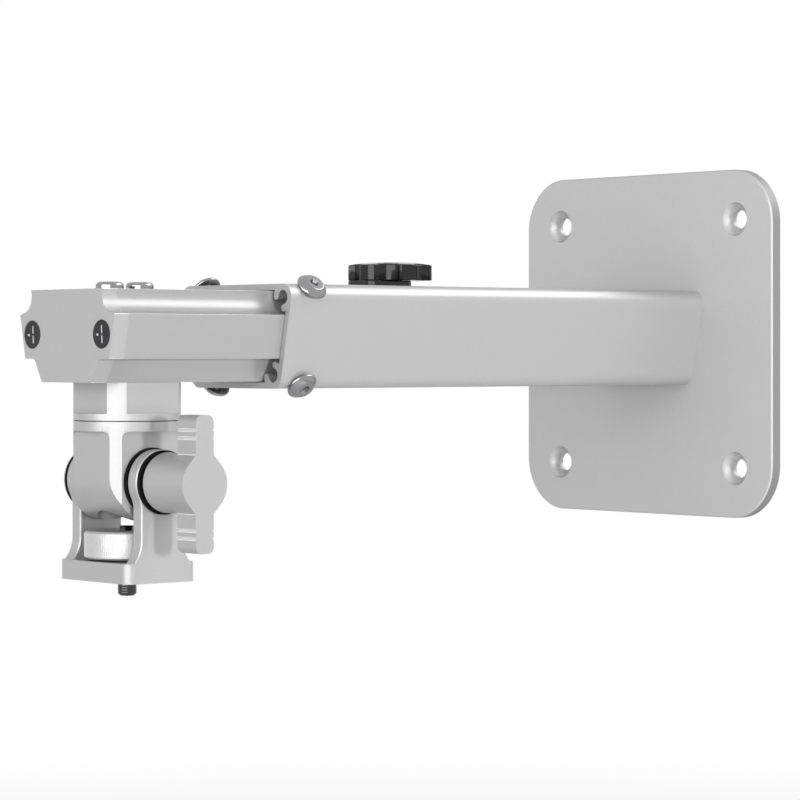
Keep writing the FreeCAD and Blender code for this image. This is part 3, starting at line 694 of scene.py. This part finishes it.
def cone_head():
    """A low rim under a broad chamfer and a flat top."""
    profile = [(0.475, 0.0), (0.5, 0.05), (0.5, 0.26), (0.49, 0.36), (0.475, 0.44), (0.335, 0.96),
               (0.318, 0.99), (0.3, 1.0)]
    return head_shape("Cone_head", profile, hexagon_reach(0.16), hexagon_reach(0.10), even_angles(48), 0.4)


def sunk_head():
    """A countersunk head with a cross of shallow slots."""
    profile = [(0.24, -1.0), (0.48, -0.11), (0.488, -0.03), (0.478, 0.0)]
    half_length, half_width = 0.33, 0.055
    return head_shape("Sunk_head", profile, cross_reach(half_length, half_width), cross_reach(0.31, 0.04),
                      cross_angles(half_length, half_width), 0.10)


def screw_points(places):
    """Loose points with the heading and the twist of each screw; a place is (seat, heading, twist)."""
    mesh = bpy.data.meshes.new("Screw_places")
    mesh.from_pydata([tuple(seat) for seat, heading, twist in places], [], [])
    mesh.attributes.new("heading", "FLOAT_VECTOR", "POINT")
    mesh.attributes.new("twist", "FLOAT", "POINT")
    for index, (seat, heading, twist) in enumerate(places):
        mesh.attributes["heading"].data[index].vector = Vector(heading).normalized()
        mesh.attributes["twist"].data[index].value = twist
    return mesh


def screw_set(name, node, places, head, finish, **sizes):
    """All the screws of a CAD node, as one piece that stands for it; the sizes are in millimetres."""
    scaled = {label: value * MM for label, value in sizes.items()}
    piece = grown(name, bpy.data.node_groups["Screw Set"], screw_points(places), Head=head,
                  Finish=material(finish), **scaled)
    return stand_for(piece, node)


# Studio

def view_heading(studio, across, up):
    """Direction from the object, turned to the camera's right by across and lifted by up, in degrees."""
    turn = studio.view_turn
    towards = Vector((math.sin(turn), -math.cos(turn), 0.0))
    right = Vector((math.cos(turn), math.sin(turn), 0.0))
    level = towards * math.cos(math.radians(across)) + right * math.sin(math.radians(across))
    return level * math.cos(math.radians(up)) + Vector((0.0, 0.0, math.sin(math.radians(up))))


def make_camera(scene, studio):
    data = bpy.data.cameras.new("Camera")
    data.lens = studio.lens
    data.sensor_width = SENSOR
    data.sensor_fit = "HORIZONTAL"
    data.shift_x = (PICTURE_SIDE / 2.0 - studio.centre_x) / PICTURE_SIDE
    data.shift_y = (studio.centre_y - PICTURE_SIDE / 2.0) / PICTURE_SIDE
    data.clip_start = 0.01
    data.clip_end = 50.0
    camera = finished_object("Camera", data)
    turn = studio.view_turn
    camera.matrix_world = Matrix((
        (math.cos(turn), 0.0, math.sin(turn), studio.eye[0]),
        (math.sin(turn), 0.0, -math.cos(turn), studio.eye[1]),
        (0.0, 1.0, 0.0, studio.eye[2]),
        (0.0, 0.0, 0.0, 1.0),
    ))
    scene.camera = camera


def background_mask(tree):
    """One for the eye and for what metal and glass mirror, nought for plain light."""
    path = tree.nodes.new("ShaderNodeLightPath").outputs
    eye_or_gloss = calc(tree, "MAXIMUM", path["Is Camera Ray"], path["Is Glossy Ray"])
    return calc(tree, "MAXIMUM", eye_or_gloss, path["Is Transmission Ray"])


def make_surroundings(scene, studio):
    world = bpy.data.worlds.new("Studio Surroundings")
    scene.world = world
    world.use_nodes = True
    tree = world.node_tree
    tree.nodes.clear()
    plain_white = (1.0, 1.0, 1.0, 1.0)
    white = new_node(tree, "ShaderNodeBackground", {"Color": plain_white, "Strength": 1.0})
    room = new_node(tree, "ShaderNodeBackground", {"Color": plain_white, "Strength": studio.room_light})
    mix = new_node(tree, "ShaderNodeMixShader",
                   {0: background_mask(tree), 1: room.outputs[0], 2: white.outputs[0]})
    new_node(tree, "ShaderNodeOutputWorld", {"Surface": mix.outputs[0]})


def softbox(name, heading, distance, width, height, glow):
    """A soft rectangular lamp of so much power to the square metre, out of the camera's sight."""
    data = bpy.data.lights.new(name, "AREA")
    data.shape = "RECTANGLE"
    data.size = width
    data.size_y = height
    data.energy = glow * width * height
    obj = finished_object(name, data)
    facing = (-heading).to_track_quat("-Z", "Y").to_matrix().to_4x4()
    obj.matrix_world = Matrix.Translation(LAMP_AIM + heading * distance) @ facing
    obj.visible_camera = False
    return obj


def make_lamps(studio):
    softbox("Key Softbox", view_heading(studio, across=-30.0, up=12.0), distance=1.8, width=2.5, height=1.2,
            glow=11.0)
    softbox("Top Softbox", view_heading(studio, across=99.0, up=39.0), distance=1.7, width=1.6, height=0.9,
            glow=10.5)
    beside_wing = Vector((0.99, -0.055, 0.035)).normalized()
    side = softbox("Side Lamp", beside_wing, distance=1.6, width=0.14, height=0.14, glow=900.0)
    side.visible_glossy = False


def make_floor(studio):
    low = CAD_BOX[0][2] - studio.floor_drop
    reach = 14.0
    build = bmesh.new()
    build.faces.new(ring(build, [(-reach, -reach, low), (reach, -reach, low), (reach, reach, low),
                                 (-reach, reach, low)]))
    mesh = bpy.data.meshes.new("Floor")
    build.to_mesh(mesh)
    build.free()
    mesh.materials.append(floor_material())
    finished_object("Floor", mesh)


def floor_material():
    """Pale floor that keeps a faint shadow near the object and is plain white further off."""
    made = bpy.data.materials.new("Pale Floor")
    made.use_nodes = True
    tree = made.node_tree
    tree.nodes.clear()
    place = tree.nodes.new("ShaderNodeTexCoord").outputs["Object"]
    flat = new_node(tree, "ShaderNodeVectorMath", {0: place, 1: (1.0, 1.0, 0.0)}, operation="MULTIPLY")
    away = new_node(tree, "ShaderNodeVectorMath", {0: flat.outputs[0]}, operation="LENGTH").outputs["Value"]
    plain = new_node(tree, "ShaderNodeMapRange",
                     {"Value": away, "From Min": 0.8, "From Max": 3.0, "To Min": 0.35, "To Max": 1.0},
                     interpolation_type="SMOOTHSTEP").outputs["Result"]
    paint = new_node(tree, "ShaderNodeBsdfDiffuse", {"Color": (0.85, 0.85, 0.85, 1.0)})
    glow = new_node(tree, "ShaderNodeEmission", {"Strength": 1.0})
    amount = calc(tree, "MULTIPLY", background_mask(tree), plain)
    mix = new_node(tree, "ShaderNodeMixShader", {0: amount, 1: paint.outputs[0], 2: glow.outputs[0]})
    new_node(tree, "ShaderNodeOutputMaterial", {"Surface": mix.outputs[0]})
    return made


class MOUNT_OT_studio(bpy.types.Operator):
    """Camera, lamps, surroundings and floor"""
    bl_idname = "mount.studio"
    bl_label = "Studio"

    def execute(self, context):
        studio = context.scene.mount_studio
        make_camera(context.scene, studio)
        make_surroundings(context.scene, studio)
        make_lamps(studio)
        make_floor(studio)
        context.scene.view_settings.view_transform = "Standard"
        return {"FINISHED"}


# The mount's own pieces

class MOUNT_OT_plate(bpy.types.Operator):
    """Wall plate with its countersunk holes"""
    bl_idname = "mount.plate"
    bl_label = "Wall plate"

    def execute(self, context):
        plate = refined("wall_plate", "plate", "Anodised Plate")
        # The plate's outer rim faces get painted shade, a darker copy of the silver
        plate.data.materials.append(material("Plate Edge Painted Shade"))
        outside_holes = 54.0 * MM
        for face in plate.data.polygons:
            outward = max(abs(face.center.x), abs(face.center.z))
            if outward > outside_holes and abs(face.normal.y) < 0.5:
                face.material_index = 1
        return {"FINISHED"}


class MOUNT_OT_arm(bpy.types.Operator):
    """Outer tube, sliding arm and end cap"""
    bl_idname = "mount.arm"
    bl_label = "Telescopic arm"

    def execute(self, context):
        edge = context.scene.mount_detail.edge_round
        refined("outer_tube", "tube", "Anodised Tube", edge)
        # The arm's and the cap's sharp edges along the arm get a painted highlight
        refined("sliding_arm", "arm_profile", "Anodised Arm", edge, "Painted Edge Highlight", along=Y_AXIS)
        refined("end_cap", "cap", "Anodised Cap", edge, "Painted Edge Highlight", along=Y_AXIS)
        return {"FINISHED"}


class MOUNT_OT_head(bpy.types.Operator):
    """Swivel block, knuckle and yoke, with the bolts between them"""
    bl_idname = "mount.head"
    bl_label = "Pan and tilt head"

    def execute(self, context):
        edge = context.scene.mount_detail.edge_round
        refined("swivel_block", "block", "Anodised Head", edge)
        refined("knuckle", "knuckle_body", "Anodised Head", edge)
        # The yoke's rounded edges get a painted highlight
        refined("yoke", "yoke_body", "Anodised Head", edge, "Painted Edge Highlight")
        refined("tilt_bolt", "tilt_bolt_head", "Anodised Head", edge)
        coat("pan_spring", "Zinc Steel")
        coat("pan_bolt", "Zinc Steel")
        return {"FINISHED"}


class MOUNT_OT_washers(bpy.types.Operator):
    """Black washers of the tilt and pan joints"""
    bl_idname = "mount.washers"
    bl_label = "Washers"

    def execute(self, context):
        edge = context.scene.mount_detail.edge_round
        refined("inner_washers", "washers_inside", "Black Nylon", edge)
        refined("outer_washers", "washers_outside", "Black Nylon", edge)
        coat("pan_washer", "Black Nylon")
        return {"FINISHED"}


def wing_side():
    """One side of the wing's outline from its disc to its tip, as (y, z) in millimetres."""
    disc, half, shoulder, end, tip = 9.2, 3.65, 9.6, 22.5, 2.4
    groove_half, groove_depth = 0.4, 0.35
    distance = math.hypot(half, shoulder)
    contact = math.atan2(shoulder, half) - math.acos(disc / distance)
    points = [(disc * math.cos(contact * step / 8.0), disc * math.sin(contact * step / 8.0))
              for step in range(9)]
    points.append((half, shoulder))
    for groove in (15.0, 17.6):
        points += [(half, groove - groove_half), (half - groove_depth, groove),
                   (half, groove + groove_half)]
    for step in range(7):
        angle = math.radians(15.0 * step)
        points.append((half - tip + tip * math.cos(angle), end - tip + tip * math.sin(angle)))
    return points


def wing_bmesh(low, high, middle):
    """Grooved wing plate with a turned hub that tapers from a rounded foot into it."""
    side = wing_side()
    quarter = side + [(-y, z) for y, z in reversed(side)]
    outline = quarter + [(y, -z) for y, z in reversed(quarter)]
    outline = [point for index, point in enumerate(outline) if point != outline[index - 1]]
    plate_back = low.x + 11.4 * MM
    build = bmesh.new()
    back, front = [ring(build, [(x, middle.y + y * MM, middle.z + z * MM) for y, z in outline])
                   for x in (plate_back, high.x)]
    bridge(build, back, front)
    build.faces.new(back)
    build.faces.new(front)
    foot, foot_round, top = 10.0, 1.4, 9.22
    hub_length = (high.x - low.x) / MM - 0.4
    profile = [(0.0, 0.0), (foot - foot_round, 0.0)]
    for step in range(1, 7):
        angle = math.radians(15.0 * step)
        profile.append((foot - foot_round + foot_round * math.sin(angle),
                        foot_round * (1.0 - math.cos(angle))))
    profile += [(top, hub_length), (0.0, hub_length)]
    hub = turned([(radius * MM, low.x + height * MM) for radius, height in profile], even_angles(72), "X")
    stacked(build, [[(x, middle.y + y, middle.z + z) for x, y, z in points] for points in hub])
    return build


class MOUNT_OT_wing_knob(bpy.types.Operator):
    """Wing knob on the tilt bolt"""
    bl_idname = "mount.wing_knob"
    bl_label = "Wing knob"

    def execute(self, context):
        low, high = node_box("wing_knob")
        build = wing_bmesh(low, high, node_middle("wing_knob"))
        knob = finished_object("wing_knob_body", mesh_of("wing_knob_body", build))
        knob.data.materials.append(material("Anodised Knob"))
        # The wing's sharp edges along the bolt, at its grooves and shoulders, get a painted highlight
        soften(knob, context.scene.mount_detail.edge_round, "Painted Edge Highlight", along=X_AXIS)
        stand_for(knob, "wing_knob")
        return {"FINISHED"}


def star_reach(angle):
    """Radius of the star knob's outline in millimetres, with six flutes between rounded lobes."""
    lobes = 6
    radius, flute, depth, turn, blend = 14.99, 5.5, 3.2, math.radians(-14.4), 0.9
    centre = radius + flute - depth
    sixth = FULL_TURN / lobes
    local = (angle - turn) % sixth - sixth / 2.0
    across = centre * math.sin(local)
    if abs(across) >= flute:
        return radius
    dip = centre * math.cos(local) - math.sqrt(flute * flute - across * across)
    share = max(0.0, min(1.0, 0.5 + 0.5 * (dip - radius) / blend))
    return dip * (1.0 - share) + radius * share - blend * share * (1.0 - share)


def star_bmesh(low, high, middle, rim):
    """Fluted star grip with a small rounded rim and a shallow crown."""
    crown = 0.8
    wall = (high.z - low.z) / MM - crown
    rim = rim / MM
    stack = [(0.5, 0.0), (0.15, 0.05), (0.0, 0.22), (0.0, wall - rim)]
    for step in range(1, 5):
        angle = math.radians(22.5 * step)
        stack.append((rim * (1.0 - math.cos(angle)), wall - rim + rim * math.sin(angle)))
    angles = even_angles(216)
    outlines = [[(middle.x, middle.y, low.z)]]
    for inset, rise in stack:
        reach = [(star_reach(a) - inset) * MM for a in angles]
        outlines.append([(middle.x + r * math.cos(a), middle.y + r * math.sin(a), low.z + rise * MM)
                         for a, r in zip(angles, reach)])
    for share, rise in ((0.85, 0.28), (0.72, 0.55), (0.6, crown)):
        reach = [min(star_reach(a) - rim, 15.0 * share) * MM for a in angles]
        level = low.z + (wall + rise) * MM
        outlines.append([(middle.x + r * math.cos(a), middle.y + r * math.sin(a), level)
                         for a, r in zip(angles, reach)])
    outlines.append([(middle.x, middle.y, high.z)])
    build = bmesh.new()
    stacked(build, outlines)
    return build


class MOUNT_OT_star_knob(bpy.types.Operator):
    """Star lock knob over the tube, with its plate, bush, stud and tip"""
    bl_idname = "mount.star_knob"
    bl_label = "Star lock knob"

    def execute(self, context):
        detail = context.scene.mount_detail
        low, high = node_box("lock_grip")
        build = star_bmesh(low, high, node_middle("lock_grip"), detail.crown_round)
        grip = finished_object("star_grip", mesh_of("star_grip", build, 40.0))
        grip.data.materials.append(material("Black Gloss"))
        stand_for(grip, "lock_grip")
        refined("lock_plate", "lock_plate_body", "Black Gloss", detail.edge_round * 2.0)
        coat("lock_bush", "Zinc Steel")
        coat("lock_stud", "Zinc Steel")
        coat("lock_tip", "Black Nylon")
        return {"FINISHED"}


class MOUNT_OT_screws(bpy.types.Operator):
    """Guide screws, block screws, end cap screws and the screws behind the plate"""
    bl_idname = "mount.screws"
    bl_label = "Screws"

    def execute(self, context):
        screw_tree()
        cone, pan, sunk = cone_head(), pan_head(), sunk_head()

        low, high = node_box("guide_screws")
        row = (low.y + high.y) / 2.0
        upper_reach, lean, upper_height, lower_height, twist = 28.97, 5.28, 18.67, -14.17, 0.3
        corners = [(upper_reach, upper_height), (upper_reach - lean, lower_height)]
        places = [((side * x * MM, row, z * MM), (side, 0.0, math.copysign(1.0, z)), twist + side)
                  for x, z in corners for side in (1.0, -1.0)]
        screw_set("corner_screws", "guide_screws", places, cone, "Polished Screw",
                  Head_Diameter=10.8, Head_Height=2.6, Shank_Diameter=4.8, Shank_Length=7.9)

        low, high = node_box("block_screws")
        head_height, head_half = 2.75, 4.75
        seat = high.z - head_height * MM
        places = [((0.0, y, seat), (0.0, 0.0, 1.0), twist)
                  for y, twist in ((low.y + head_half * MM, 0.4), (high.y - head_half * MM, 0.9))]
        screw_set("block_screw_pair", "block_screws", places, pan, "Polished Screw",
                  Head_Diameter=2.0 * head_half, Head_Height=head_height,
                  Shank_Diameter=5.0, Shank_Length=35.9)

        low, high = node_box("end_cap_screws")
        head_half, twist = 4.85, 0.06
        places = [((x, low.y, (low.z + high.z) / 2.0), (0.0, -1.0, 0.0), twist)
                  for x in (low.x + head_half * MM, high.x - head_half * MM)]
        screw_set("cap_screw_pair", "end_cap_screws", places, sunk, "Dark Screw",
                  Head_Diameter=2.0 * head_half, Head_Height=2.5, Shank_Diameter=5.0, Shank_Length=17.5,
                  Shank_Start=2.4)

        for shape in (cone, pan, sunk):
            bpy.data.objects.remove(shape)
        coat("tube_fixing_screws", "Dark Screw")
        return {"FINISHED"}


def wheel_body(low, high, middle, depth):
    """The thumb wheel's drum under its knurl, with chamfers and the boss below it."""
    drum_low, chamfer, bore, boss = low.z + 0.7 * MM, 0.6 * MM, 2.55 * MM, 6.0 * MM
    core = (high.x - low.x) / 2.0 - depth
    profile = [(bore, low.z), (boss, low.z), (boss, drum_low), (core - chamfer, drum_low),
               (core, drum_low + chamfer), (core, high.z - chamfer), (core - chamfer, high.z),
               (bore, high.z), (bore, low.z)]
    build = bmesh.new()
    outlines = turned(profile, even_angles(120))
    stacked(build, [[(middle.x + x, middle.y + y, z) for x, y, z in points] for points in outlines])
    return mesh_of("Wheel_body", build, 30.0)


class MOUNT_OT_thumb_wheel(bpy.types.Operator):
    """Knurled thumb wheel"""
    bl_idname = "mount.thumb_wheel"
    bl_label = "Thumb wheel"

    def execute(self, context):
        detail = context.scene.mount_detail
        low, high = node_box("thumb_wheel")
        middle = node_middle("thumb_wheel")
        depth = detail.knurl_depth
        start = wheel_body(low, high, middle, depth)
        radius = (high.x - low.x) / 2.0 - depth
        band_low, band_high = low.z + 1.3 * MM, high.z - 0.6 * MM
        pitch = (band_high - band_low) / detail.knurl_rows
        width = FULL_TURN * radius / detail.knurl_columns
        sunk_in = 0.02 * MM
        # The knurl's studs carry a painted highlight and its grooves painted shade
        wheel = grown("wheel", knurl_tree(), start, Radius=radius - sunk_in,
                      Height=pitch * (detail.knurl_rows - 1), Columns=detail.knurl_columns,
                      Rows=detail.knurl_rows, Stud_Width=width, Stud_Depth=depth,
                      Centre=(middle.x, middle.y, (band_low + band_high) / 2.0),
                      Finish=material("Knurl Studs Painted Highlight"), Groove_Finish=material("Knurl Groove Painted Shade"),
                      Drum_Finish=material("Anodised Knob"))
        stand_for(wheel, "thumb_wheel")
        return {"FINISHED"}


def thread_bmesh(low, high, middle, pitch, depth):
    """Camera screw: smooth neck with a short stub above the wheel, and a threaded end with a bevel."""
    radius, neck, tip, bevel, stub_bevel = 3.175 * MM, 2.5 * MM, 2.37 * MM, 0.8 * MM, 0.3 * MM
    shoulder, stub = low.z + 5.2 * MM, high.z + 3.35 * MM
    angles = even_angles(48)
    outlines = [[(middle.x, middle.y, low.z)]]
    steps_per_turn = 8.0
    steps = int((shoulder - low.z) / pitch * steps_per_turn)
    for step in range(steps + 1):
        z = low.z + (shoulder - low.z) * step / steps
        ease = min(1.0, (z - low.z) / bevel)
        points = []
        for angle in angles:
            phase = ((z / pitch) - angle / FULL_TURN) % 1.0
            crest = 0.5 - 0.5 * math.cos(FULL_TURN * phase)
            reach = min(radius - depth * crest, tip + (radius - tip) * ease)
            points.append((middle.x + reach * math.cos(angle), middle.y + reach * math.sin(angle), z))
        outlines.append(points)
    for reach, z in ((neck, shoulder), (neck, stub - stub_bevel), (neck - stub_bevel, stub)):
        outlines.append([(middle.x + reach * math.cos(a), middle.y + reach * math.sin(a), z)
                         for a in angles])
    outlines.append([(middle.x, middle.y, stub)])
    build = bmesh.new()
    stacked(build, outlines)
    return build


class MOUNT_OT_camera_screw(bpy.types.Operator):
    """Black threaded camera screw"""
    bl_idname = "mount.camera_screw"
    bl_label = "Camera screw"

    def execute(self, context):
        detail = context.scene.mount_detail
        low, high = node_box("projector_screw")
        build = thread_bmesh(low, high, node_middle("projector_screw"), detail.thread_pitch,
                             detail.thread_depth)
        screw = finished_object("camera_screw", mesh_of("camera_screw", build, 50.0))
        screw.data.materials.append(material("Black Steel"))
        stand_for(screw, "projector_screw")
        return {"FINISHED"}


STEPS = (MOUNT_OT_studio, MOUNT_OT_plate, MOUNT_OT_arm, MOUNT_OT_head, MOUNT_OT_washers, MOUNT_OT_wing_knob,
         MOUNT_OT_star_knob, MOUNT_OT_screws, MOUNT_OT_thumb_wheel, MOUNT_OT_camera_screw)


class MOUNT_PT_panel(bpy.types.Panel):
    """Sizes, finishes and the steps that make the mount"""
    bl_idname = "MOUNT_PT_panel"
    bl_label = "Projector Wall Mount"
    bl_space_type = "VIEW_3D"
    bl_region_type = "UI"
    bl_category = "Wall Mount"

    def draw(self, context):
        scene = context.scene
        for group in (scene.mount_finish, scene.mount_detail, scene.mount_studio):
            box = self.layout.box()
            for name in group.__annotations__:
                box.prop(group, name)
        for step in STEPS:
            self.layout.operator(step.bl_idname)


CLASSES = (MountFinish, MountDetail, MountStudio) + STEPS + (MOUNT_PT_panel,)


def register():
    for cls in CLASSES:
        bpy.utils.register_class(cls)
    bpy.types.Scene.mount_finish = bpy.props.PointerProperty(type=MountFinish)
    bpy.types.Scene.mount_detail = bpy.props.PointerProperty(type=MountDetail)
    bpy.types.Scene.mount_studio = bpy.props.PointerProperty(type=MountStudio)


def unregister():
    del bpy.types.Scene.mount_studio
    del bpy.types.Scene.mount_detail
    del bpy.types.Scene.mount_finish
    for cls in reversed(CLASSES):
        bpy.utils.unregister_class(cls)


def plain(box):
    return [[float(value) for value in corner] for corner in box]


def main():
    register()
    blasted_grain_group()
    drawn_lines_group()
    handled_wear_group()
    bpy.ops.mount.studio()
    bpy.ops.mount.plate()
    bpy.ops.mount.arm()
    bpy.ops.mount.head()
    bpy.ops.mount.washers()
    bpy.ops.mount.wing_knob()
    bpy.ops.mount.star_knob()
    bpy.ops.mount.screws()
    bpy.ops.mount.thumb_wheel()
    bpy.ops.mount.camera_screw()


if __name__ == "__main__":
    main()
